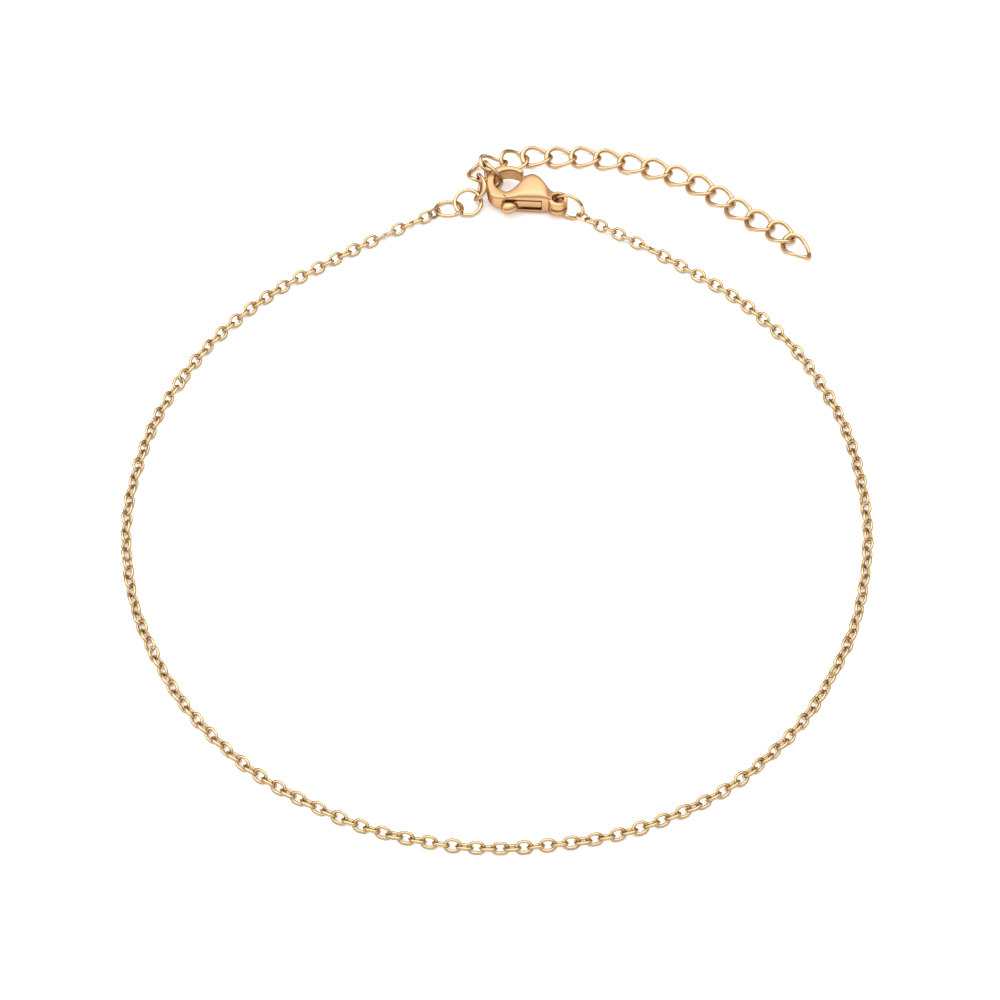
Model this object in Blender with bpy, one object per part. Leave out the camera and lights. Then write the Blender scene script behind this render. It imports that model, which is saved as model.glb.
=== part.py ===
import math

import bmesh
import bpy
import numpy as np
from mathutils import Matrix, Vector

for leftover in list(bpy.data.objects):
    bpy.data.objects.remove(leftover, do_unlink=True)

mm = 0.001

# Fine chain of the anklet
chain_link_length = 1.73 * mm
chain_link_width = 1.38 * mm
chain_wire = 0.29 * mm
chain_body_width = 1.3 * mm
chain_height = 0.66 * mm
chain_body_points = 78
chain_route = [
    (19.8, 28.3), (28.9, 20.5), (35.3, 10.2), (38.2, -1.6), (37.8, -13.4),
    (34.0, -24.9), (26.9, -34.9), (17.0, -41.8), (5.5, -44.9), (-6.6, -44.6),
    (-17.9, -40.5), (-27.5, -33.2), (-34.3, -23.2), (-37.9, -11.6), (-37.6, 0.6),
    (-33.8, 11.9), (-26.8, 21.8), (-17.3, 29.2),
]

# Larger links of the extender
extender_link_length = 3.71 * mm
extender_link_width = 2.95 * mm
extender_wire = 0.45 * mm
extender_twist = math.radians(-30)
extender_slack = 0.05 * mm
extender_flat_links = 13
extender_route = [
    (5.6, 43.9), (9.5, 43.95), (13.7, 43.3), (19.2, 41.6),
    (23.95, 38.8), (28.15, 35.1), (32.1, 32.1), (33.98, 29.5), (35.98, 26.5),
]
drop_link_length = 4.2 * mm
drop_narrowing = 0.34

# The box of the whole anklet is centred on the origin
centring = (-0.08 * mm, 0.21 * mm)

# Rings
ring_wire = 0.45 * mm
jump_ring_width = 3.4 * mm
clasp_ring_width = 3.7 * mm
ring_slit = 0.06 * mm
piece_gap = 0.06 * mm

# Clasp
pin_place = (4.4 * mm, 36.9 * mm)
clasp_heading = math.radians(-3)
clasp_half_height = 1.6 * mm
pin_radius = 0.40 * mm
pin_clearance = 0.05 * mm
pin_half_length = 1.1 * mm
lever_thickness = 1.0 * mm
lever_side_gap = 0.24 * mm
hook_centre = (-3.15 * mm, 1.70 * mm)
hook_radius = 2.07 * mm
tail_centre = (2.48 * mm, -0.68 * mm)
tail_radius = 1.10 * mm
tail_hole_radius = 0.68 * mm
tail_half_height = 0.95 * mm
tail_split = 0.33 * mm
nub_centre = (-3.16 * mm, -1.55 * mm)
nub_half_length = 0.68 * mm
nub_half_depth = 0.72 * mm
nub_half_height = 0.66 * mm
nub_tail_stretch = 1.9
nub_turn = math.radians(18)


def metal(name, colour, roughness):
    material = bpy.data.materials.new(name)
    material.use_nodes = True
    shader = material.node_tree.nodes["Principled BSDF"]
    shader.inputs["Base Color"].default_value = (*colour, 1.0)
    shader.inputs["Metallic"].default_value = 1.0
    shader.inputs["Roughness"].default_value = roughness
    return material


chain_metal = metal("chain_metal", (0.83, 0.58, 0.36), 0.22)
extender_metal = metal("extender_metal", (0.84, 0.60, 0.38), 0.20)
ring_metal = metal("ring_metal", (0.84, 0.61, 0.40), 0.20)
clasp_metal = metal("clasp_metal", (0.86, 0.63, 0.42), 0.24)
lever_metal = metal("lever_metal", (0.85, 0.62, 0.41), 0.24)
pin_metal = metal("pin_metal", (0.80, 0.58, 0.38), 0.26)


def add_piece(name, mesh_builder, material, sharp_angle=35):
    mesh = bpy.data.meshes.new(name)
    bmesh.ops.remove_doubles(mesh_builder, verts=mesh_builder.verts, dist=1e-6)
    bmesh.ops.recalc_face_normals(mesh_builder, faces=mesh_builder.faces)
    mesh_builder.to_mesh(mesh)
    mesh_builder.free()
    mesh.materials.append(material)
    piece = bpy.data.objects.new(name, mesh)
    bpy.context.collection.objects.link(piece)
    smooth_piece(piece, sharp_angle)
    return piece


def smooth_piece(piece, sharp_angle):
    for face in piece.data.polygons:
        face.use_smooth = True
    piece.data.set_sharp_from_angle(angle=math.radians(sharp_angle))


def loft(sections, closed):
    builder = bmesh.new()
    rows = []
    for section in sections:
        rows.append([builder.verts.new(point) for point in section])
    sides = len(rows[0])
    spans = len(rows) if closed else len(rows) - 1
    for row in range(spans):
        here = rows[row]
        there = rows[(row + 1) % len(rows)]
        for side in range(sides):
            after = (side + 1) % sides
            builder.faces.new((here[side], here[after], there[after], there[side]))
    if not closed:
        builder.faces.new(rows[0])
        builder.faces.new(rows[-1])
    return builder


def wire_sections(line, wire, sides, closed):
    centre = sum(line, Vector()) / len(line)
    sections = []
    for index, point in enumerate(line):
        if closed:
            before = line[index - 1]
            after = line[(index + 1) % len(line)]
        else:
            before = line[max(index - 1, 0)]
            after = line[min(index + 1, len(line) - 1)]
        along = (after - before).normalized()
        outward = point - centre
        outward = (outward - along * outward.dot(along)).normalized()
        across = along.cross(outward)
        section = []
        for side in range(sides):
            angle = 2 * math.pi * (side + 0.5) / sides
            offset = outward * math.cos(angle) + across * math.sin(angle)
            section.append(point + offset * wire / 2)
        sections.append(section)
    return sections


def link_line(length, width, wire, twist, points, narrowing=0.0):
    half_length = (length - wire) / 2
    half_width = (width - wire) / 2
    line = []
    for index in range(points):
        angle = 2 * math.pi * index / points
        share = math.cos(angle)
        side = half_width * math.sin(angle) * (1 - narrowing * (0.5 + 0.5 * share))
        turn = twist * share
        line.append(Vector((half_length * share, side * math.cos(turn), side * math.sin(turn))))
    return line


def ring_line(width, wire, points, slit_angle=None):
    radius = (width - wire) / 2
    if slit_angle is None:
        angles = [2 * math.pi * index / points for index in range(points)]
    else:
        half_slit = ring_slit / 2 / radius
        sweep = 2 * math.pi - 2 * half_slit
        angles = [slit_angle + half_slit + sweep * index / points for index in range(points + 1)]
    return [Vector((radius * math.cos(angle), radius * math.sin(angle), 0)) for angle in angles]


def placement(centre, heading, rise, roll):
    turn = Matrix.Rotation(heading, 4, "Z") @ Matrix.Rotation(-rise, 4, "Y")
    return Matrix.Translation(centre) @ turn @ Matrix.Rotation(roll, 4, "X")


def wire_piece(name, line, wire, sides, place, material, closed=True):
    placed = [place @ point for point in line]
    builder = loft(wire_sections(placed, wire, sides, closed), closed)
    return add_piece(name, builder, material, 80)


def smooth_route(points, height):
    knots = np.array([(x, y) for x, y in points])
    steps = np.hypot(*(knots[1:] - knots[:-1]).T)
    at = np.concatenate([[0], np.cumsum(steps)])
    count = len(knots)
    matrix = np.zeros((count, count))
    right = np.zeros((count, 2))
    matrix[0, 0] = 1
    matrix[-1, -1] = 1
    for i in range(1, count - 1):
        left_step = at[i] - at[i - 1]
        right_step = at[i + 1] - at[i]
        matrix[i, i - 1] = left_step / 6
        matrix[i, i] = (left_step + right_step) / 3
        matrix[i, i + 1] = right_step / 6
        right[i] = (knots[i + 1] - knots[i]) / right_step - (knots[i] - knots[i - 1]) / left_step
    bend = np.linalg.solve(matrix, right)
    dense = []
    for i in range(count - 1):
        span = at[i + 1] - at[i]
        for share in np.linspace(0, 1, 60, endpoint=False):
            far = share
            near = 1 - share
            point = near * knots[i] + far * knots[i + 1]
            point = point + (near ** 3 - near) * span ** 2 / 6 * bend[i]
            point = point + (far ** 3 - far) * span ** 2 / 6 * bend[i + 1]
            dense.append(point)
    dense.append(knots[-1])
    return [Vector((x, y, height)) for x, y in dense]


def route_lengths(route):
    lengths = [0.0]
    for before, after in zip(route, route[1:]):
        lengths.append(lengths[-1] + (after - before).length)
    return lengths


def route_point(route, lengths, distance):
    x = np.interp(distance, lengths, [point.x for point in route])
    y = np.interp(distance, lengths, [point.y for point in route])
    return Vector((float(x), float(y), route[0].z))


def clasp_point(x, y, z=0.0):
    turned_x = x * math.cos(clasp_heading) - y * math.sin(clasp_heading)
    turned_y = x * math.sin(clasp_heading) + y * math.cos(clasp_heading)
    return Vector((pin_place[0] + turned_x, pin_place[1] + turned_y, clasp_half_height + z))


# Clasp body: one skin from the hook's tip round to the tail, in the clasp's own plane
section_points = 20
section_squareness = 4.0


def clasp_section(outer, inner, half_height):
    middle = (Vector(outer) + Vector(inner)) / 2
    reach = (Vector(outer) - Vector(inner)) / 2
    power = 2 / section_squareness
    angles = [2 * math.pi * (index + 0.5) / section_points for index in range(section_points)]
    top = max(abs(math.sin(angle)) ** power for angle in angles)
    section = []
    for angle in angles:
        out = math.copysign(abs(math.cos(angle)) ** power, math.cos(angle)) / top
        up = math.copysign(abs(math.sin(angle)) ** power, math.sin(angle)) / top
        spot = middle + reach * out
        section.append(clasp_point(spot.x, spot.y, half_height * up))
    return section


hook_stations = [
    (41, 0.50, 0.80), (52, 0.58, 0.84), (66, 0.66, 0.85), (82, 0.71, 0.85), (100, 0.74, 0.85),
    (118, 0.77, 0.85), (136, 0.81, 0.85), (154, 0.85, 0.85), (172, 0.89, 0.85), (190, 0.93, 0.85),
    (207, 1.02, 0.86),
]
body_stations = [
    (-5.26, -0.34, -4.25, 0.68, 0.90), (-4.78, -0.78, -3.92, 0.48, 0.94), (-4.20, -0.98, -3.66, 0.22, 0.98),
    (-3.66, -1.06, -3.36, 0.04, 1.05), (-3.10, -1.06, -3.02, 0.10, 1.14), (-2.60, -1.04, -2.60, 0.34, 1.26),
    (-2.25, -1.03, -2.25, 0.74, 1.34), (-1.95, -1.02, -1.95, 1.18, 1.42), (-1.66, -1.02, -1.66, 1.74, 1.48),
    (-1.40, -1.02, -1.40, 2.16, 1.52), (-0.94, -1.02, -0.94, 2.62, 1.57), (-0.44, -1.02, -0.44, 2.76, 1.60),
    (0.09, -1.02, 0.09, 2.50, 1.60), (0.62, -1.02, 0.62, 1.90, 1.56), (1.05, -1.02, 1.05, 1.28, 1.45),
    (1.31, -1.03, 1.31, 0.84, 1.32), (1.62, -1.04, 1.62, 0.52, 1.12), (1.92, -1.06, 1.92, 0.44, 0.99),
    (2.25, -1.08, 2.25, 0.40, 0.93),
]

sections = []
for degrees, width, half_height in hook_stations:
    ray = Vector((math.cos(math.radians(degrees)), math.sin(math.radians(degrees))))
    outer = Vector(hook_centre) + ray * (hook_radius + width * mm / 2)
    inner = Vector(hook_centre) + ray * (hook_radius - width * mm / 2)
    sections.append(clasp_section(outer, inner, half_height * mm))
for outer_x, outer_y, inner_x, inner_y, half_height in body_stations:
    outer = Vector((outer_x, outer_y)) * mm
    inner = Vector((inner_x, inner_y)) * mm
    sections.append(clasp_section(outer, inner, half_height * mm))
clasp_body = add_piece("clasp_body", loft(sections, False), clasp_metal)


def turned_solid(name, centre, profile, sides):
    builder = bmesh.new()
    rows = []
    for radius, z in profile:
        row = []
        for side in range(sides):
            angle = 2 * math.pi * side / sides
            x = centre[0] + radius * math.cos(angle)
            y = centre[1] + radius * math.sin(angle)
            row.append(builder.verts.new(clasp_point(x, y, z)))
        rows.append(row)
    for here, there in zip(rows, rows[1:]):
        for side in range(sides):
            after = (side + 1) % sides
            builder.faces.new((here[side], here[after], there[after], there[side]))
    builder.faces.new(rows[0])
    builder.faces.new(rows[-1])
    return add_piece(name, builder, clasp_metal)


def prism(name, outline, low, high):
    builder = bmesh.new()
    bottom = [builder.verts.new(clasp_point(x, y, low)) for x, y in outline]
    top = [builder.verts.new(clasp_point(x, y, high)) for x, y in outline]
    builder.faces.new(bottom)
    builder.faces.new(top)
    for index in range(len(outline)):
        after = (index + 1) % len(outline)
        builder.faces.new((bottom[index], bottom[after], top[after], top[index]))
    return add_piece(name, builder, clasp_metal)


def combine(piece, other, operation):
    step = piece.modifiers.new(other.name, "BOOLEAN")
    step.operation = operation
    step.solver = "EXACT"
    step.object = other
    bpy.context.view_layer.update()
    view = bpy.context.evaluated_depsgraph_get()
    result = bpy.data.meshes.new_from_object(piece.evaluated_get(view))
    piece.modifiers.clear()
    piece.data = result
    bpy.data.objects.remove(other, do_unlink=True)


def arc(radius, first, last, steps):
    points = []
    for index in range(steps + 1):
        angle = math.radians(first + (last - first) * index / steps)
        points.append((radius * mm * math.cos(angle), radius * mm * math.sin(angle)))
    return points


# Tail ring with rounded rims, joined to the body
rim = 0.18 * mm
tail_profile = [
    (tail_radius - rim, -tail_half_height),
    (tail_radius - rim * 0.29, -tail_half_height + rim * 0.29),
    (tail_radius, -tail_half_height + rim),
    (tail_radius, tail_half_height - rim),
    (tail_radius - rim * 0.29, tail_half_height - rim * 0.29),
    (tail_radius - rim, tail_half_height),
]
combine(clasp_body, turned_solid("tail_ring", tail_centre, tail_profile, 32), "UNION")

hole_rim = 0.05 * mm
hole_profile = [
    (tail_hole_radius + hole_rim * 2, -tail_half_height - hole_rim),
    (tail_hole_radius, -tail_half_height + hole_rim),
    (tail_hole_radius, tail_half_height - hole_rim),
    (tail_hole_radius + hole_rim * 2, tail_half_height + hole_rim),
]
combine(clasp_body, turned_solid("tail_hole", tail_centre, hole_profile, 28), "DIFFERENCE")

split_start = tail_centre[0] - tail_hole_radius - 0.02 * mm
split_end = tail_centre[0] + tail_radius * 1.5
split_outline = [
    (split_start, tail_centre[1] - tail_radius * 1.4),
    (split_end, tail_centre[1] - tail_radius * 1.4),
    (split_end, tail_centre[1] + tail_radius * 1.4),
    (split_start, tail_centre[1] + tail_radius * 1.4),
]
combine(clasp_body, prism("tail_gap", split_outline, -tail_split / 2, tail_split / 2), "DIFFERENCE")

# Slot for the lever, open along the near side and towards the hook's tip
slot_half_height = lever_thickness / 2 + lever_side_gap
slot_outline = [(-3.55 * mm, -2.0 * mm), (0.8 * mm, -2.0 * mm)]
slot_outline += arc(1.6, -60, -22, 4)
slot_outline += arc(1.1, -10, 60, 6)
slot_outline += [
    (-0.42 * mm, 1.62 * mm), (-0.95 * mm, 2.7 * mm), (-2.6 * mm, 2.0 * mm), (-2.75 * mm, 0.6 * mm),
    (-2.45 * mm, 0.1 * mm), (-2.1 * mm, -0.42 * mm), (-3.55 * mm, -0.42 * mm),
]
combine(clasp_body, prism("lever_slot", slot_outline, -slot_half_height, slot_half_height), "DIFFERENCE")

# Blind bores for the lever's pin
bore_radius = pin_radius + pin_clearance
bore_half_length = pin_half_length + pin_clearance
bore_profile = [(bore_radius, -bore_half_length), (bore_radius, bore_half_length)]
combine(clasp_body, turned_solid("pin_bore", (0, 0), bore_profile, 24), "DIFFERENCE")
clasp_body.data.materials.clear()
clasp_body.data.materials.append(clasp_metal)
smooth_piece(clasp_body, 35)

pin_profile = [(pin_radius, -pin_half_length), (pin_radius, pin_half_length)]
clasp_pin = turned_solid("clasp_pin", (0, 0), pin_profile, 24)
clasp_pin.data.materials.clear()
clasp_pin.data.materials.append(pin_metal)

# Lever: gate, plate and thumb nub in one piece
lever_outline = [
    (-3.35, -1.45), (-2.85, -1.45), (-1.95, -0.93), (0.50, -0.93), (0.68, -0.88), (0.78, -0.74),
    (0.95, 0.00), (0.88, 0.42), (0.50, 0.85),
    (-0.55, 1.50), (-1.229, 3.041), (-1.49, 2.92), (-1.738, 2.782), (-1.80, 1.20), (-1.45, 0.10),
    (-1.55, -0.20), (-1.75, -0.44), (-2.30, -0.54), (-3.35, -0.54),
]
lever_outline = [(x * mm, y * mm) for x, y in lever_outline]
clasp_lever = prism("clasp_lever", lever_outline, -lever_thickness / 2, lever_thickness / 2)


def nub(name):
    builder = bmesh.new()
    bmesh.ops.create_uvsphere(builder, u_segments=20, v_segments=12, radius=1.0)
    for vertex in builder.verts:
        stretch = nub_tail_stretch if vertex.co.x > 0 else 1
        x = vertex.co.x * nub_half_length * stretch
        y = vertex.co.y * nub_half_depth
        vertex.co = clasp_point(
            nub_centre[0] + x * math.cos(nub_turn) - y * math.sin(nub_turn),
            nub_centre[1] + x * math.sin(nub_turn) + y * math.cos(nub_turn),
            vertex.co.z * nub_half_height)
    return add_piece(name, builder, clasp_metal)


combine(clasp_lever, nub("thumb_nub"), "UNION")
lever_hole_radius = pin_radius + pin_clearance + 0.01 * mm
lever_hole_profile = [(lever_hole_radius, -lever_thickness), (lever_hole_radius, lever_thickness)]
combine(clasp_lever, turned_solid("lever_hole", (0, 0), lever_hole_profile, 24), "DIFFERENCE")
clasp_lever.data.materials.clear()
clasp_lever.data.materials.append(lever_metal)
smooth_piece(clasp_lever, 35)
pin_origin = clasp_point(0, 0)
clasp_lever.data.transform(Matrix.Translation(-pin_origin))
clasp_lever.location = pin_origin

# Links and rings that hang together by the hook, each placed from the one that it hangs in
extender_pitch = extender_link_length - 2 * extender_wire - extender_slack
ring_pitch = jump_ring_width - 2 * ring_wire
link_half = (extender_link_length - extender_wire) / 2


def laid(x, y, z, heading, rise, roll):
    centre = Vector((x * mm, y * mm, z * mm))
    return placement(centre, math.radians(heading), math.radians(rise), math.radians(roll))


def hung(neighbour, steps, reach, heading, rise, roll):
    centre = neighbour.to_translation() + Vector(steps) * reach
    return placement(centre, math.radians(heading), math.radians(rise), math.radians(roll))


# the third link goes round the hook, and the second and fourth lie against the hook's arm
second_link = laid(-1.925, 41.332, 0.936, 91, -12, -11)
hook_link = laid(-0.572, 40.314, 1.717, -58, -39, 81)
fourth_link = laid(-0.409, 42.337, 1.493, 28, -21, -7)
first_link = hung(second_link, (0.024, -0.973, 0.198), extender_pitch, 93, -9, 104)
fifth_link = hung(fourth_link, (0.862, 0.410, -0.286), extender_pitch, 26, -12, 11)
jump_ring_b = hung(first_link, (-0.500, -0.631, -0.271), (extender_pitch + ring_pitch) / 2, 3, 2, 21)
jump_ring_a = hung(jump_ring_b, (-0.856, -0.323, -0.048), ring_pitch, 5, 1, -16)
clasp_ring = laid(8.13, 35.45, 1.84, -24, 6, 85)
wire_piece(
    "jump_ring_a", ring_line(jump_ring_width, ring_wire, 28, math.radians(-65)), ring_wire, 8,
    jump_ring_a, ring_metal, False)
wire_piece(
    "jump_ring_b", ring_line(jump_ring_width, ring_wire, 28, math.radians(75)), ring_wire, 8,
    jump_ring_b, ring_metal, False)
wire_piece(
    "clasp_ring", ring_line(clasp_ring_width, ring_wire, 28, math.radians(30)), ring_wire, 8,
    clasp_ring, ring_metal, False)

extender_line = link_line(extender_link_length, extender_link_width, extender_wire, extender_twist, 18)
link_number = 1
for place in (first_link, second_link, hook_link, fourth_link, fifth_link):
    wire_piece("extender_link_%02d" % link_number, extender_line, extender_wire, 6, place, extender_metal)
    link_number += 1

# Links that lie flat in a row, the last one shaped like a drop
flat_height = (extender_link_width - extender_wire) / 2 * 0.5 * math.sin(-extender_twist) + extender_wire / 2
row_start = fifth_link @ extender_line[0]
row_points = [(row_start.x, row_start.y)] + [(x * mm, y * mm) for x, y in extender_route]
flat_route = smooth_route(row_points, flat_height)
flat_lengths = route_lengths(flat_route)
first_distance = link_half - extender_wire - extender_slack
for index in range(extender_flat_links):
    distance = first_distance + extender_pitch * index
    centre = route_point(flat_route, flat_lengths, distance)
    behind = route_point(flat_route, flat_lengths, distance - extender_pitch / 2)
    ahead = route_point(flat_route, flat_lengths, distance + extender_pitch / 2)
    heading = math.atan2(ahead.y - behind.y, ahead.x - behind.x)
    line = extender_line
    if index == extender_flat_links - 1:
        line = link_line(
            drop_link_length, extender_link_width, extender_wire, extender_twist, 18, drop_narrowing)
    place = placement(centre, heading, 0, 0)
    wire_piece("extender_link_%02d" % link_number, line, extender_wire, 6, place, extender_metal)
    link_number += 1


# Fine chain: an end link on each ring, and one rounded body for the rest
def end_link(name, place, ring_width, angle_degrees, toward):
    radius = (ring_width - ring_wire) / 2
    angle = math.radians(angle_degrees)
    grip = place @ Vector((radius * math.cos(angle), radius * math.sin(angle), 0))
    tangent = place.to_3x3() @ Vector((-math.sin(angle), math.cos(angle), 0))
    away = (toward - grip).normalized()
    normal = (tangent - away * tangent.dot(away)).normalized()
    if normal.z < 0:
        normal = -normal
    side = normal.cross(away)
    shift = chain_link_length / 2 - chain_wire - ring_wire / 2 - piece_gap
    centre = grip + away * shift
    turn = Matrix((away, side, normal)).transposed().to_4x4()
    line = link_line(chain_link_length, chain_link_width, chain_wire, 0, 18)
    wire_piece(name, line, chain_wire, 6, Matrix.Translation(centre) @ turn, chain_metal)
    return centre + away * (chain_link_length / 2 + 2 * piece_gap)


def at_chain_height(x, y):
    return Vector((x * mm, y * mm, chain_height))


start = end_link("chain_end_link_1", clasp_ring, clasp_ring_width, -35, at_chain_height(13.5, 32.4))
finish = end_link("chain_end_link_2", jump_ring_a, jump_ring_width, 197, at_chain_height(-11.5, 32.6))
route_points = [(start.x, start.y)]
route_points += [(x * mm, y * mm) for x, y in chain_route]
route_points.append((finish.x, finish.y))
chain_line = smooth_route(route_points, chain_height)
chain_lengths = route_lengths(chain_line)
curve = bpy.data.curves.new("anklet_chain", "CURVE")
curve.dimensions = "3D"
curve.bevel_depth = chain_body_width / 2
curve.bevel_resolution = 2
curve.use_fill_caps = True
spline = curve.splines.new("POLY")
spline.points.add(chain_body_points - 1)
for index in range(chain_body_points):
    spot = route_point(chain_line, chain_lengths, chain_lengths[-1] * index / (chain_body_points - 1))
    spline.points[index].co = (*spot, 1.0)
curve.materials.append(chain_metal)
anklet_chain = bpy.data.objects.new("anklet_chain", curve)
bpy.context.collection.objects.link(anklet_chain)

for piece in bpy.data.objects:
    piece.location.x += centring[0]
    piece.location.y += centring[1]
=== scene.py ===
import math
import bpy
from mathutils import Matrix, Vector
from mathutils.geometry import interpolate_bezier


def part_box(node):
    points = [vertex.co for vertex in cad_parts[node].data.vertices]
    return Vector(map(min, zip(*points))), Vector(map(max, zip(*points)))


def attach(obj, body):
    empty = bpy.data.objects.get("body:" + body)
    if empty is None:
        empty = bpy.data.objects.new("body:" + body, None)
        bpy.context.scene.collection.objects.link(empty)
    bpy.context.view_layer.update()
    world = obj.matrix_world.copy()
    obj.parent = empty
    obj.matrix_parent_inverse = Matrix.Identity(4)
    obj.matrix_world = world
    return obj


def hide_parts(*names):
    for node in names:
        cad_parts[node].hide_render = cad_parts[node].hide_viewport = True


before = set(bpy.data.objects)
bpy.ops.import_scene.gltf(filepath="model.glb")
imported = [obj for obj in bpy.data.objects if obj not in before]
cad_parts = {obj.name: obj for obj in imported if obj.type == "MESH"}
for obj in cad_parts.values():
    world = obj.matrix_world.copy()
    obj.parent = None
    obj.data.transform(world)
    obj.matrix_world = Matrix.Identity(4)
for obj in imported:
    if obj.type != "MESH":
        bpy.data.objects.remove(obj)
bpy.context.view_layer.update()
mm = 0.001


# everyday helpers

def startPiece():
    # nothing stays selected, so the next operator acts on the new piece alone
    if bpy.context.object and bpy.context.object.mode != "OBJECT":
        bpy.ops.object.mode_set(mode="OBJECT")
    bpy.ops.object.select_all(action="DESELECT")


def pick(piece):
    startPiece()
    piece.select_set(True)
    bpy.context.view_layer.objects.active = piece


def editWhere(piece, chosen):
    # opens edit mode with the points that pass the test
    pick(piece)
    bpy.ops.object.mode_set(mode="EDIT")
    bpy.ops.mesh.select_mode(type="VERT")
    bpy.ops.mesh.select_all(action="DESELECT")
    bpy.ops.object.mode_set(mode="OBJECT")
    for point in piece.data.vertices:
        point.select = chosen(point.co)
    bpy.ops.object.mode_set(mode="EDIT")


def editAll(piece):
    pick(piece)
    bpy.ops.object.mode_set(mode="EDIT")
    bpy.ops.mesh.select_all(action="SELECT")


def leaveEdit():
    bpy.ops.object.mode_set(mode="OBJECT")


def outward(piece):
    editAll(piece)
    bpy.ops.mesh.remove_doubles(threshold=0.000001)
    bpy.ops.mesh.normals_make_consistent(inside=False)
    leaveEdit()


def copyPiece(piece, name):
    twin = piece.copy()
    twin.data = piece.data.copy()
    twin.name = name
    bpy.context.collection.objects.link(twin)
    return twin


def settle(piece, place):
    # puts the piece where the matrix says and bakes that into its mesh
    piece.matrix_world = place
    pick(piece)
    bpy.ops.object.transform_apply(location=True, rotation=True, scale=True)


def joinAll(pieces, name):
    startPiece()
    for piece in pieces:
        piece.select_set(True)
    bpy.context.view_layer.objects.active = pieces[0]
    bpy.ops.object.join()
    joined = bpy.context.object
    joined.name = name
    return joined


def applyModifier(piece, kind, **settings):
    pick(piece)
    step = piece.modifiers.new("step", kind)
    for setting, value in settings.items():
        setattr(step, setting, value)
    bpy.ops.object.modifier_apply(modifier=step.name)


def cutOrAdd(piece, other, operation):
    applyModifier(piece, "BOOLEAN", operation=operation, solver="EXACT", object=other)
    bpy.data.objects.remove(other, do_unlink=True)


def smooth(piece, degrees=180):
    pick(piece)
    if degrees >= 180:
        bpy.ops.object.shade_smooth()
    else:
        bpy.ops.object.shade_smooth_by_angle(angle=math.radians(degrees))


def turned(centre, heading, rise, roll):
    turn = Matrix.Rotation(math.radians(heading), 4, "Z") @ Matrix.Rotation(math.radians(-rise), 4, "Y")
    return Matrix.Translation(centre) @ turn @ Matrix.Rotation(math.radians(roll), 4, "X")


def nodeCentre(node):
    low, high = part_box(node)
    return (low + high) / 2


# shader maths as plain expressions

class Amount:
    def __init__(self, tree, socket):
        self.tree = tree
        self.socket = socket

    def node(self, kind, settings, inputs, output=0):
        made = self.tree.nodes.new(kind)
        for setting, value in settings.items():
            if setting == "stops":
                ramp = made.color_ramp
                while len(ramp.elements) < len(value):
                    ramp.elements.new(0.5)
                for stop, (position, colour) in zip(ramp.elements, value):
                    stop.position = position
                    stop.color = colour
            else:
                setattr(made, setting, value)
        for name, value in inputs.items():
            if isinstance(value, Amount):
                self.tree.links.new(value.socket, made.inputs[name])
            else:
                made.inputs[name].default_value = value
        return Amount(self.tree, made.outputs[output])

    def maths(self, operation, first, second):
        return self.node("ShaderNodeMath", {"operation": operation}, {0: first, 1: second})

    def __add__(self, other):
        return self.maths("ADD", self, other)

    def __radd__(self, other):
        return self.maths("ADD", other, self)

    def __sub__(self, other):
        return self.maths("SUBTRACT", self, other)

    def __rsub__(self, other):
        return self.maths("SUBTRACT", other, self)

    def __mul__(self, other):
        return self.maths("MULTIPLY", self, other)

    def __rmul__(self, other):
        return self.maths("MULTIPLY", other, self)


goldLook = {
    "chain": ((0.64, 0.465, 0.275, 1.0), (0.54, 0.38, 0.205, 1.0)),   # paler tone, deeper tone
    "extender": ((0.66, 0.455, 0.275, 1.0), (0.56, 0.365, 0.20, 1.0)),
    "clasp": ((0.625, 0.385, 0.20, 1.0), (0.545, 0.32, 0.16, 1.0)),
    "rimBrown": (0.24, 0.155, 0.07, 1.0),     # what the metal turns to where it curves away
    "cloudSize": 260.0,      # how often the tone drifts, per metre
    "cloudContrast": 1.4,
    "scuffSize": 5200.0,     # fine polishing marks
    "scuffDepth": 0.06,
    "roughness": 0.16,
    "cloudRoughness": 0.072,
    "scuffRoughness": 0.048,
}


def goldMetal(name, tones, paler, rougher=0.0):
    look = goldLook
    metal = bpy.data.materials.new(name)
    metal.use_nodes = True
    tree = metal.node_tree
    shader = tree.nodes["Principled BSDF"]
    start = Amount(tree, None)
    place = start.node("ShaderNodeTexCoord", {}, {}, "Object")
    clouds = start.node("ShaderNodeTexNoise", {}, {
        "Vector": place, "Scale": look["cloudSize"], "Detail": 3.0, "Roughness": 0.5}, "Fac")
    scuffs = start.node("ShaderNodeTexNoise", {}, {
        "Vector": place, "Scale": look["scuffSize"], "Detail": 2.0, "Roughness": 0.6}, "Fac")
    tone = (clouds - 0.5) * look["cloudContrast"] + paler
    colour = start.node(
        "ShaderNodeMix", {"data_type": "RGBA", "clamp_factor": True},
        {0: tone, 6: look[tones][1], 7: look[tones][0]}, 2)
    drift = clouds * look["cloudRoughness"] + scuffs * look["scuffRoughness"]
    roughness = look["roughness"] + rougher + drift
    bump = start.node(
        "ShaderNodeBump", {}, {"Height": scuffs, "Strength": look["scuffDepth"], "Distance": 0.00002}, "Normal")
    tree.links.new(colour.socket, shader.inputs["Base Color"])
    tree.links.new(roughness.socket, shader.inputs["Roughness"])
    tree.links.new(bump.socket, shader.inputs["Normal"])
    shader.inputs["Metallic"].default_value = 1.0
    shader.inputs["Specular Tint"].default_value = look["rimBrown"]
    return metal


def dress(piece, metal):
    piece.data.materials.clear()
    piece.data.materials.append(metal)


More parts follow.
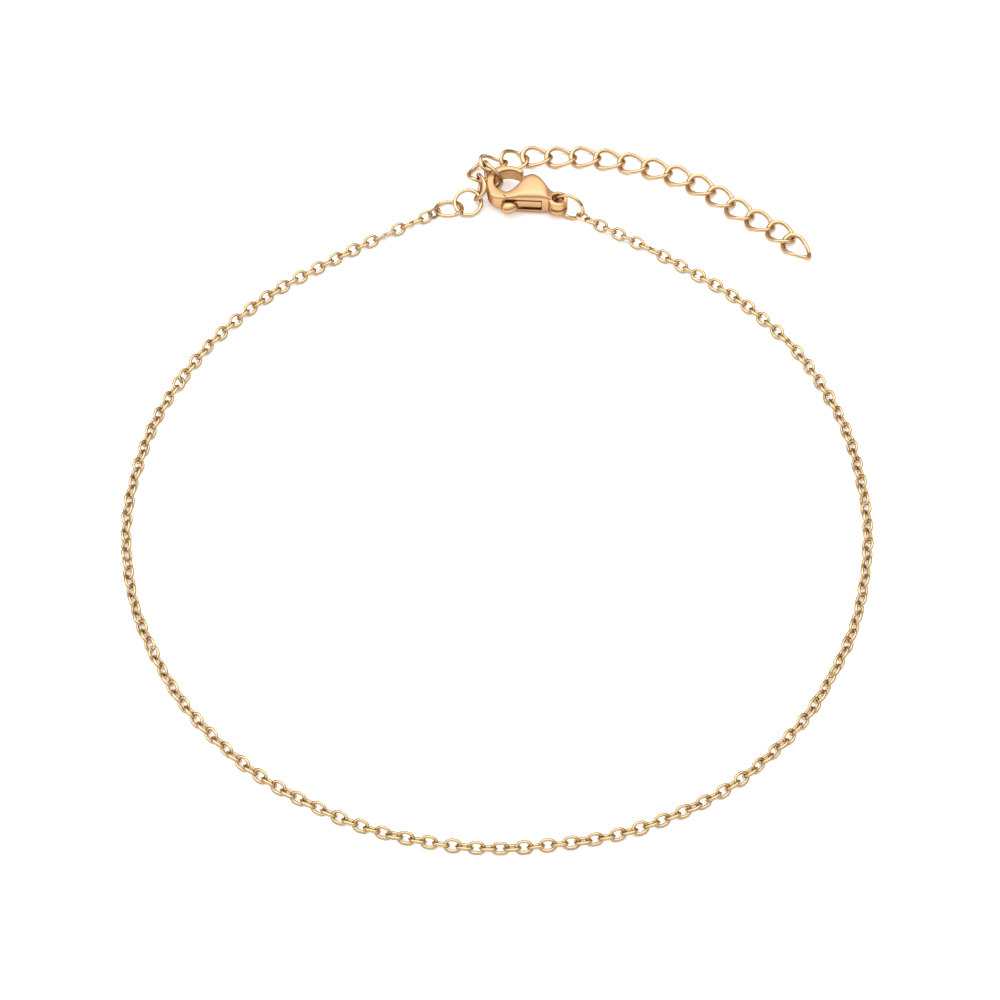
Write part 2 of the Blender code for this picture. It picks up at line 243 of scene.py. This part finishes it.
chainGold = goldMetal("chainGold", "chain", paler=0.45, rougher=-0.04)
extenderGold = goldMetal("extenderGold", "extender", paler=0.5)
ringGold = goldMetal("ringGold", "extender", paler=0.55)
claspGold = goldMetal("claspGold", "clasp", paler=0.65, rougher=0.14)
leverGold = goldMetal("leverGold", "clasp", paler=0.6, rougher=0.12)
pinGold = goldMetal("pinGold", "clasp", paler=0.4, rougher=0.1)
print("metals ready")


# wire links and rings

def wireOval(name, length, width, wire, around, sides, stretch=0.0):
    # a torus as wide as the link, stretched a little and its two halves drawn apart to the link's length
    startPiece()
    bpy.ops.mesh.primitive_torus_add(
        major_segments=around, minor_segments=sides, major_radius=(width - wire) / 2, minor_radius=wire / 2)
    oval = bpy.context.object
    oval.name = name
    if stretch > 0:
        editAll(oval)
        bpy.ops.transform.resize(value=(1 + (length / width - 1) * stretch, 1, 1), center_override=(0, 0, 0))
        leaveEdit()
    half = (length - width) / 2 * (1 - stretch)
    if half > 0:
        editWhere(oval, lambda point: point.x > 0)
        bpy.ops.transform.translate(value=(half, 0, 0))
        leaveEdit()
        editWhere(oval, lambda point: point.x < 0)
        bpy.ops.transform.translate(value=(-half, 0, 0))
        leaveEdit()
    smooth(oval)
    return oval


fineChain = {
    "linkLength": 1.88 * mm,
    "linkWidth": 1.45 * mm,
    "wire": 0.36 * mm,
    "pitch": 1.15 * mm,
    "lean": 45.0,                # each link leans this far, the next one the other way
    "height": 0.66 * mm,
    "faces": (16, 5),            # along a link's wire and round it
    "slips": (8, 25, 45, 64, 138, 148, 169, 195, 198),   # places where two neighbours lean alike
    "leanDrift": 5.5,            # how much the lean wanders along the chain, in degrees
    "leanWaves": (1.9, 0.73, 1.2),   # its quick wave, its slow wave and where the slow one starts
    "turnDrift": 2.0,
    "turnWave": 2.7,
    "route": [                   # millimetres, from the clasp ring clockwise to the jump ring
        (19.72, 28.51), (28.82, 20.71), (35.22, 10.41), (38.12, -1.39), (37.72, -13.19), (33.92, -24.69),
        (26.82, -34.69), (16.92, -41.59), (5.42, -44.69), (-6.68, -44.39), (-17.98, -40.29), (-27.58, -32.99),
        (-34.38, -22.99), (-37.98, -11.39), (-37.68, 0.81), (-33.88, 12.11), (-26.88, 22.01), (-17.38, 29.41),
    ],
}


def evenPoints(points, count, fineness=60):
    # a smooth line through the points, cut into equal steps
    startPiece()
    curve = bpy.data.curves.new("routeLine", "CURVE")
    curve.dimensions = "3D"
    line = curve.splines.new("BEZIER")
    line.bezier_points.add(len(points) - 1)
    for knot, point in zip(line.bezier_points, points):
        knot.co = point
        knot.handle_left_type = "AUTO"
        knot.handle_right_type = "AUTO"
    holder = bpy.data.objects.new("routeLine", curve)
    bpy.context.collection.objects.link(holder)
    bpy.context.view_layer.update()
    dense = [line.bezier_points[0].co.copy()]
    for before, after in zip(line.bezier_points, line.bezier_points[1:]):
        dense += interpolate_bezier(before.co, before.handle_right, after.handle_left, after.co, fineness)[1:]
    bpy.data.objects.remove(holder, do_unlink=True)
    lengths = [0.0]
    for before, after in zip(dense, dense[1:]):
        lengths.append(lengths[-1] + (after - before).length)
    spots = []
    spot = 0
    for index in range(count):
        wanted = lengths[-1] * index / (count - 1)
        while spot < len(lengths) - 2 and lengths[spot + 1] < wanted:
            spot += 1
        share = (wanted - lengths[spot]) / (lengths[spot + 1] - lengths[spot])
        spots.append(dense[spot].lerp(dense[spot + 1], share))
    return spots, lengths[-1]


firstEnd = nodeCentre("chain_end_link_1")
lastEnd = nodeCentre("chain_end_link_2")
routePoints = [firstEnd]
routePoints += [Vector((x * mm, y * mm, fineChain["height"])) for x, y in fineChain["route"]]
routePoints.append(lastEnd)
chainLength = evenPoints(routePoints, 2)[1]
linkCount = round(chainLength / fineChain["pitch"]) + 1
linkSpots = evenPoints(routePoints, linkCount)[0]
oneLink = wireOval(
    "fineLink", fineChain["linkLength"], fineChain["linkWidth"], fineChain["wire"], *fineChain["faces"], stretch=0.5)
chainLinks = []
lean = fineChain["lean"]
quick, slow, late = fineChain["leanWaves"]
for number in range(1, linkCount - 1):
    along = (linkSpots[number + 1] - linkSpots[number - 1]).normalized()
    if number not in fineChain["slips"]:
        lean = -lean
    heading = math.degrees(math.atan2(along.y, along.x))
    rise = math.degrees(math.asin(along.z))
    wander = math.sin(number * quick) + math.sin(number * slow + late)
    link = copyPiece(oneLink, "fineLink")
    link.matrix_world = turned(
        linkSpots[number], heading + fineChain["turnDrift"] * math.sin(number * fineChain["turnWave"]), rise,
        lean + fineChain["leanDrift"] * wander)
    chainLinks.append(link)
bpy.data.objects.remove(oneLink, do_unlink=True)
chain = joinAll(chainLinks, "chainLinks")
bpy.ops.object.transform_apply(location=True, rotation=True, scale=True)
dress(chain, chainGold)
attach(chain, "anklet")
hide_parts("anklet_chain")
print("fine chain:", linkCount, "links over", round(chainLength * 1000, 1), "mm")


extender = {
    "rowLinks": (3.77 * mm, 2.99 * mm, 0.50 * mm, -66.0),    # length, width, wire, degrees of twist from end to end
    "looseLinks": (3.71 * mm, 2.95 * mm, 0.46 * mm, -60.0),  # those by the hook lie closer together
    "dropLink": (4.25 * mm, 2.99 * mm, 0.50 * mm, -66.0),
    "faces": (48, 12),
    "stretch": 0.6,              # share of the link's length that comes from stretching its round ends
    "lift": 0.06 * mm,           # the row stands this much higher than its solids
    "tipWidth": 0.80,            # the last link's far end, as a share of its width
    "tipStart": 1.6,             # it narrows from this many wires before the end
    "tipFade": 1.1,              # and that fades out over this share of half the link
    "loose": [                   # middle in millimetres, heading, rise and roll of the links by the hook
        (-1.939, 38.857, 1.482, 93, -9, 104), (-2.005, 41.542, 0.936, 91, -12, -11),
        (-0.652, 40.524, 1.717, -58, -39, 81), (-0.489, 42.547, 1.493, 28, -21, -7),
        (1.890, 43.679, 0.704, 26, -12, 11),
    ],
}


def twistedLink(name, size, drop=False):
    length, width, wire, twist = size
    link = wireOval(name, length, width, wire, *extender["faces"], stretch=extender["stretch"])
    if drop:
        reach = length / 2
        editWhere(link, lambda point: point.x > reach - wire * extender["tipStart"])
        bpy.ops.transform.resize(
            value=(1, extender["tipWidth"], 1), center_override=(0, 0, 0), use_proportional_edit=True,
            proportional_edit_falloff="SMOOTH", proportional_size=reach * extender["tipFade"])
        leaveEdit()
    applyModifier(link, "SIMPLE_DEFORM", deform_method="TWIST", deform_axis="X", angle=math.radians(twist))
    smooth(link)
    return link


extenderNodes = ["extender_link_%02d" % number for number in range(1, 19)]
centres = [nodeCentre(node) for node in extenderNodes]
rowLink = twistedLink("rowLink", extender["rowLinks"])
looseLink = twistedLink("looseLink", extender["looseLinks"])
extenderLinks = []
for number, centre in enumerate(centres):
    if number < len(extender["loose"]):
        x, y, z, heading, rise, roll = extender["loose"][number]
        centre = Vector((x, y, z)) * mm
        link = copyPiece(looseLink, "looseLink")
    else:
        behind = centres[number - 1] if number > len(extender["loose"]) else centre * 2 - centres[number + 1]
        ahead = centres[number + 1] if number + 1 < len(centres) else centre
        along = ahead - behind
        heading, rise, roll = math.degrees(math.atan2(along.y, along.x)), 0, 0
        centre = centre + Vector((0, 0, extender["lift"]))
        if number + 1 == len(centres):
            link = twistedLink("dropLink", extender["dropLink"], True)
        else:
            link = copyPiece(rowLink, "rowLink")
    link.matrix_world = turned(centre, heading, rise, roll)
    extenderLinks.append(link)
bpy.data.objects.remove(rowLink, do_unlink=True)
bpy.data.objects.remove(looseLink, do_unlink=True)
extenderChain = joinAll(extenderLinks, "extenderLinks")
bpy.ops.object.transform_apply(location=True, rotation=True, scale=True)
dress(extenderChain, extenderGold)
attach(extenderChain, "anklet")
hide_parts(*extenderNodes)
print("extender ready")


rings = {
    "wire": 0.45 * mm,
    "pieces": [                  # node, outer width, heading, rise, roll, where its slit is
        ("jump_ring_a", 3.4 * mm, 5, 1, -16, -65),
        ("jump_ring_b", 3.4 * mm, 3, 2, 21, 75),
        ("clasp_ring", 3.7 * mm, -24, 6, 85, 30),
    ],
    "slit": 0.05 * mm,
    "faces": (64, 14),
    "smoothAngle": 50.0,
}


def slitRing(node, width, slitAngle):
    wire = rings["wire"]
    ring = wireOval(node + "_wire", width, width, wire, *rings["faces"])
    startPiece()
    bpy.ops.mesh.primitive_cube_add(
        size=1, location=((width - wire) / 2, 0, 0), scale=(wire * 2, rings["slit"], wire * 2))
    saw = bpy.context.object
    bpy.ops.object.transform_apply(location=True, rotation=True, scale=True)
    saw.rotation_euler.z = math.radians(slitAngle)
    bpy.context.view_layer.update()
    cutOrAdd(ring, saw, "DIFFERENCE")
    smooth(ring, rings["smoothAngle"])
    return ring


for node, width, heading, rise, roll, slitAngle in rings["pieces"]:
    ring = slitRing(node, width, slitAngle)
    settle(ring, turned(nodeCentre(node), heading, rise, roll))
    dress(ring, ringGold)
    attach(ring, "anklet")
    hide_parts(node)
print("rings ready")


# the clasp lies in its own plane, in millimetres: x to the tail, y away from the camera, origin at the lever's pin
clasp = {
    "pin": Vector((4.32, 37.11, 1.6)) * mm,
    "heading": -3.0,
    "smoothAngle": 32.0,
    "hookCentre": Vector((-3.15, 1.70, 0)),
    "hookRadius": 2.07,
    "cornerRound": 0.20,         # corner rounding of a section, as a share of its width
    "endInset": 0.05,
    "hookSections": [            # angle round the hook, wire width, half height
        (41, 0.50, 0.80), (52, 0.58, 0.84), (66, 0.66, 0.85), (82, 0.71, 0.85), (100, 0.74, 0.85),
        (118, 0.77, 0.85), (136, 0.81, 0.85), (154, 0.85, 0.85), (172, 0.89, 0.85), (190, 0.93, 0.85),
        (207, 1.02, 0.86),
    ],
    "bodySections": [            # near x and y, far x and y, half height
        (-5.26, -0.34, -4.25, 0.68, 0.90), (-4.78, -0.78, -3.92, 0.48, 0.94), (-4.20, -0.98, -3.66, 0.22, 0.98),
        (-3.66, -1.06, -3.36, 0.04, 1.05), (-3.10, -1.06, -3.02, 0.10, 1.14), (-2.60, -1.04, -2.60, 0.34, 1.26),
        (-2.25, -1.03, -2.25, 0.74, 1.34), (-1.95, -1.02, -1.95, 1.18, 1.42), (-1.66, -1.02, -1.66, 1.74, 1.48),
        (-1.40, -1.02, -1.40, 2.16, 1.52), (-0.94, -1.02, -0.94, 2.58, 1.57), (-0.44, -1.02, -0.44, 2.68, 1.60),
        (0.09, -1.02, 0.09, 2.43, 1.60), (0.62, -1.02, 0.62, 1.86, 1.56), (1.05, -1.02, 1.05, 1.28, 1.45),
        (1.31, -1.03, 1.31, 0.84, 1.32), (1.62, -1.04, 1.62, 0.52, 1.12), (1.92, -1.06, 1.92, 0.44, 0.99),
        (2.25, -1.08, 2.25, 0.40, 0.93),
    ],
    "tailCentre": Vector((2.48, -0.68, 0)),
    "tailRadius": 1.10,
    "tailHole": 0.68,
    "tailHalfHeight": 0.95,
    "tailRim": 0.14,
    "tailMouth": 1.06,           # how much wider the hole is at its mouths
    "mouthDepth": 0.3,
    "tailGap": 0.33,
    "notch": (-3.46, -0.72, 1.06),   # a pressed mark on the neck
    "notchSize": (0.52, 0.13, 0.26),
    "notchTurn": -45.0,
    "slotHalfHeight": 0.78,
    "slot": [
        (-3.55, -2.0), (0.72, -2.0), (0.72, -1.02), (1.02, -0.70), (1.15, -0.42), (1.10, -0.15), (1.09, 0.10),
        (0.97, 0.46), (0.80, 0.72), (0.54, 0.94), (-0.42, 1.62), (-0.95, 2.70), (-2.60, 2.00),
        (-2.75, 0.60), (-2.45, 0.10), (-2.10, -0.42), (-3.55, -0.42),
    ],
}
claspPlace = turned(clasp["pin"], clasp["heading"], 0, 0) @ Matrix.Scale(mm, 4)

sections = []                    # middle, width, height and the direction across each
for degrees, width, halfHeight in clasp["hookSections"]:
    ray = Vector((math.cos(math.radians(degrees)), math.sin(math.radians(degrees)), 0))
    sections.append((clasp["hookCentre"] + ray * clasp["hookRadius"], width, 2 * halfHeight, degrees))
for nearX, nearY, farX, farY, halfHeight in clasp["bodySections"]:
    near = Vector((nearX, nearY, 0))
    far = Vector((farX, farY, 0))
    across = near - far
    degrees = math.degrees(math.atan2(across.y, across.x)) % 360
    sections.append(((near + far) / 2, across.length, 2 * halfHeight, degrees))

# a plane with rounded corners is drawn out from section to section, from the hook's tip to the tail
startPiece()
bpy.ops.mesh.primitive_plane_add(size=1, rotation=(math.radians(90), 0, 0))
claspBody = bpy.context.object
claspBody.name = "claspBody"
bpy.ops.object.transform_apply(location=True, rotation=True, scale=True)
editAll(claspBody)
bpy.ops.mesh.bevel(offset=clasp["cornerRound"], segments=4, affect="VERTICES")
bpy.ops.mesh.select_all(action="SELECT")
middle, width, height, degrees = sections[0]
bpy.ops.transform.resize(value=(width, 1, height), center_override=(0, 0, 0))
bpy.ops.transform.rotate(value=-math.radians(degrees), orient_axis="Z", center_override=(0, 0, 0))
bpy.ops.transform.translate(value=middle)
for newMiddle, newWidth, newHeight, newDegrees in sections[1:]:
    bpy.ops.mesh.extrude_region_move(TRANSFORM_OT_translate={"value": newMiddle - middle})
    bpy.ops.transform.rotate(value=math.radians(degrees), orient_axis="Z", center_override=newMiddle)
    bpy.ops.transform.resize(value=(newWidth / width, 1, newHeight / height), center_override=newMiddle)
    bpy.ops.transform.rotate(value=-math.radians(newDegrees), orient_axis="Z", center_override=newMiddle)
    middle, width, height, degrees = newMiddle, newWidth, newHeight, newDegrees
bpy.ops.mesh.inset(thickness=clasp["endInset"])
leaveEdit()
outward(claspBody)
applyModifier(claspBody, "SUBSURF", levels=1, render_levels=1)


def disc(radius, halfHeight, middle, rim, sides=64):
    # a round bar whose rims are rounded
    startPiece()
    bpy.ops.mesh.primitive_cylinder_add(vertices=sides, radius=radius, depth=halfHeight * 2, location=middle)
    bar = bpy.context.object
    bpy.ops.object.transform_apply(location=True, rotation=True, scale=True)
    if rim > 0:
        applyModifier(bar, "BEVEL", width=rim, segments=4, limit_method="ANGLE", angle_limit=math.radians(60))
    return bar


def plate(name, outline, low, high):
    # a filled circle whose points are set on the outline, then given its thickness
    startPiece()
    bpy.ops.mesh.primitive_circle_add(vertices=len(outline), fill_type="NGON", location=(0, 0, 0))
    sheet = bpy.context.object
    sheet.name = name
    for point, (x, y) in zip(sheet.data.vertices, outline):
        point.co = (x, y, low)
    editAll(sheet)
    bpy.ops.mesh.extrude_region_move(TRANSFORM_OT_translate={"value": (0, 0, high - low)})
    leaveEdit()
    outward(sheet)
    return sheet


tail = disc(clasp["tailRadius"], clasp["tailHalfHeight"], clasp["tailCentre"], clasp["tailRim"])
cutOrAdd(claspBody, tail, "UNION")
hole = disc(clasp["tailHole"], clasp["tailHalfHeight"] - clasp["tailRim"], clasp["tailCentre"], 0)
mouth = clasp["tailMouth"]
for side in (1, -1):             # the hole's mouths open out a little
    editWhere(hole, lambda point: point.z * side > 0)
    bpy.ops.mesh.select_mode(type="FACE")
    bpy.ops.mesh.extrude_region_move(TRANSFORM_OT_translate={"value": (0, 0, side * clasp["mouthDepth"])})
    bpy.ops.transform.resize(value=(mouth, mouth, 1), center_override=clasp["tailCentre"])
    leaveEdit()
outward(hole)
cutOrAdd(claspBody, hole, "DIFFERENCE")
tailX, tailY, _ = clasp["tailCentre"]
reach = clasp["tailRadius"] * 1.4      # well past the tail's edge
gapStart = tailX - clasp["tailHole"] - 0.02
gapEnd = tailX + reach
gap = plate("tailGap", [
    (gapStart, tailY - reach), (gapEnd, tailY - reach), (gapEnd, tailY + reach), (gapStart, tailY + reach),
], -clasp["tailGap"] / 2, clasp["tailGap"] / 2)
cutOrAdd(claspBody, gap, "DIFFERENCE")
slot = plate("leverSlot", clasp["slot"], -clasp["slotHalfHeight"], clasp["slotHalfHeight"])
cutOrAdd(claspBody, slot, "DIFFERENCE")
startPiece()
bpy.ops.mesh.primitive_cube_add(size=1, location=clasp["notch"], scale=clasp["notchSize"])
notch = bpy.context.object
bpy.ops.object.transform_apply(location=False, rotation=False, scale=True)
notch.rotation_euler.z = math.radians(clasp["notchTurn"])
bpy.context.view_layer.update()
cutOrAdd(claspBody, notch, "DIFFERENCE")
settle(claspBody, claspPlace)
smooth(claspBody, clasp["smoothAngle"])
dress(claspBody, claspGold)
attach(claspBody, "anklet")
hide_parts("clasp_body")
print("clasp body ready:", len(claspBody.data.polygons), "faces")


lever = {
    "halfThickness": 0.47,
    "outline": [
        (-3.35, -1.45), (-2.85, -1.45), (-1.95, -0.93), (0.50, -0.93), (0.68, -0.88), (0.78, -0.74),
        (0.95, 0.00), (0.88, 0.42), (0.50, 0.85),
        (-0.55, 1.50), (-1.229, 3.041), (-1.49, 2.92), (-1.738, 2.782), (-1.80, 1.20), (-1.45, 0.10),
        (-1.55, -0.20), (-1.75, -0.44), (-2.30, -0.54), (-3.35, -0.54),
    ],
    "edge": 0.07,
    "nubCentre": (-3.16, -1.55, 0),
    "nubSize": (0.68, 0.72, 0.66),      # half its length, depth and height
    "nubTail": 1.9,                     # how far its tail is drawn out along the lever
    "nubTurn": 18.0,
    "nubFaces": (40, 24),
}
claspLever = plate("claspLever", lever["outline"], -lever["halfThickness"], lever["halfThickness"])
applyModifier(
    claspLever, "BEVEL", width=lever["edge"], segments=3, limit_method="ANGLE", angle_limit=math.radians(40))
startPiece()
nubAround, nubAlong = lever["nubFaces"]
bpy.ops.mesh.primitive_uv_sphere_add(segments=nubAround, ring_count=nubAlong, radius=1)
nub = bpy.context.object
editWhere(nub, lambda point: point.x > 0.001)
bpy.ops.transform.resize(value=(lever["nubTail"], 1, 1), center_override=(0, 0, 0))
leaveEdit()
editAll(nub)
bpy.ops.transform.resize(value=lever["nubSize"], center_override=(0, 0, 0))
bpy.ops.transform.rotate(value=-math.radians(lever["nubTurn"]), orient_axis="Z", center_override=(0, 0, 0))
bpy.ops.transform.translate(value=lever["nubCentre"])
leaveEdit()
cutOrAdd(claspLever, nub, "UNION")
settle(claspLever, claspPlace)
smooth(claspLever, clasp["smoothAngle"])
dress(claspLever, leverGold)
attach(claspLever, "lever")
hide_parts("clasp_lever")
print("lever ready")

for node, metal in (("chain_end_link_1", chainGold), ("chain_end_link_2", chainGold), ("clasp_pin", pinGold)):
    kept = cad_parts[node]
    for paintSlot in kept.material_slots:
        paintSlot.material = metal


# the table, the light and the camera
studio = {
    "floorSize": 3.0,
    "floorColour": (0.96, 0.96, 0.96, 1.0),
    "tableGlow": 0.16,           # the table is lit a little from below, which softens the shadows
    "overhead": 1.65,
    "horizon": 0.16,             # the sky's brightness low down, against 1 overhead
    "skyStops": (0.25, 0.85),    # between these heights it brightens
    "lights": {                  # place, size and power
        "topLight": ((0, 0.25, 0.75), (1.2, 0.9), 3.6),
        "leftLight": ((-0.80, -0.10, 0.45), (0.6, 0.6), 1.6),
    },
    "cameraPlace": Vector((0.32, -194.19, 265.3)) * mm,
    "cameraTilt": 35.75,
    "lens": 112.64,
}
startPiece()
bpy.ops.mesh.primitive_plane_add(size=studio["floorSize"])
floor = bpy.context.object
floor.name = "floor"
floorPaint = bpy.data.materials.new("floorPaint")
floorPaint.use_nodes = True
floorShader = floorPaint.node_tree.nodes["Principled BSDF"]
floorShader.inputs["Base Color"].default_value = studio["floorColour"]
floorShader.inputs["Roughness"].default_value = 0.9
floorShader.inputs["Specular IOR Level"].default_value = 0.0
floorShader.inputs["Emission Color"].default_value = (1, 1, 1, 1)
floorShader.inputs["Emission Strength"].default_value = studio["tableGlow"]
floor.data.materials.append(floorPaint)

world = bpy.data.worlds.new("studioWorld")
bpy.context.scene.world = world
world.use_nodes = True
sky = Amount(world.node_tree, None)
direction = sky.node("ShaderNodeTexCoord", {}, {}, "Generated")
upward = sky.node("ShaderNodeSeparateXYZ", {}, {"Vector": direction}, "Z")
low, high = studio["skyStops"]
dim = (studio["horizon"],) * 3 + (1,)
tones = sky.node(
    "ShaderNodeValToRGB", {"stops": [(0.0, dim), (low, dim), (high, (1, 1, 1, 1))]}, {"Fac": upward}, "Color")
backdrop = world.node_tree.nodes["Background"]
world.node_tree.links.new(tones.socket, backdrop.inputs["Color"])
backdrop.inputs["Strength"].default_value = studio["overhead"]


def softLight(name, place, size, power):
    lamp = bpy.data.lights.new(name, "AREA")
    lamp.shape = "RECTANGLE"
    lamp.size, lamp.size_y = size
    lamp.energy = power
    holder = bpy.data.objects.new(name, lamp)
    bpy.context.collection.objects.link(holder)
    holder.location = place
    aim = Vector((0, 0, 0)) - Vector(place)        # at the middle of the table
    holder.rotation_euler = aim.to_track_quat("-Z", "Y").to_euler()


for lightName, (place, size, power) in studio["lights"].items():
    softLight(lightName, place, size, power)

camera = bpy.data.cameras.new("camera")
camera.lens = studio["lens"]
camera.sensor_width = 36
camera.clip_start = 0.01
cameraHolder = bpy.data.objects.new("camera", camera)
bpy.context.collection.objects.link(cameraHolder)
cameraHolder.location = studio["cameraPlace"]
cameraHolder.rotation_euler = (math.radians(studio["cameraTilt"]), 0, 0)
bpy.context.scene.camera = cameraHolder
bpy.context.scene.view_settings.view_transform = "Standard"
print("studio ready")
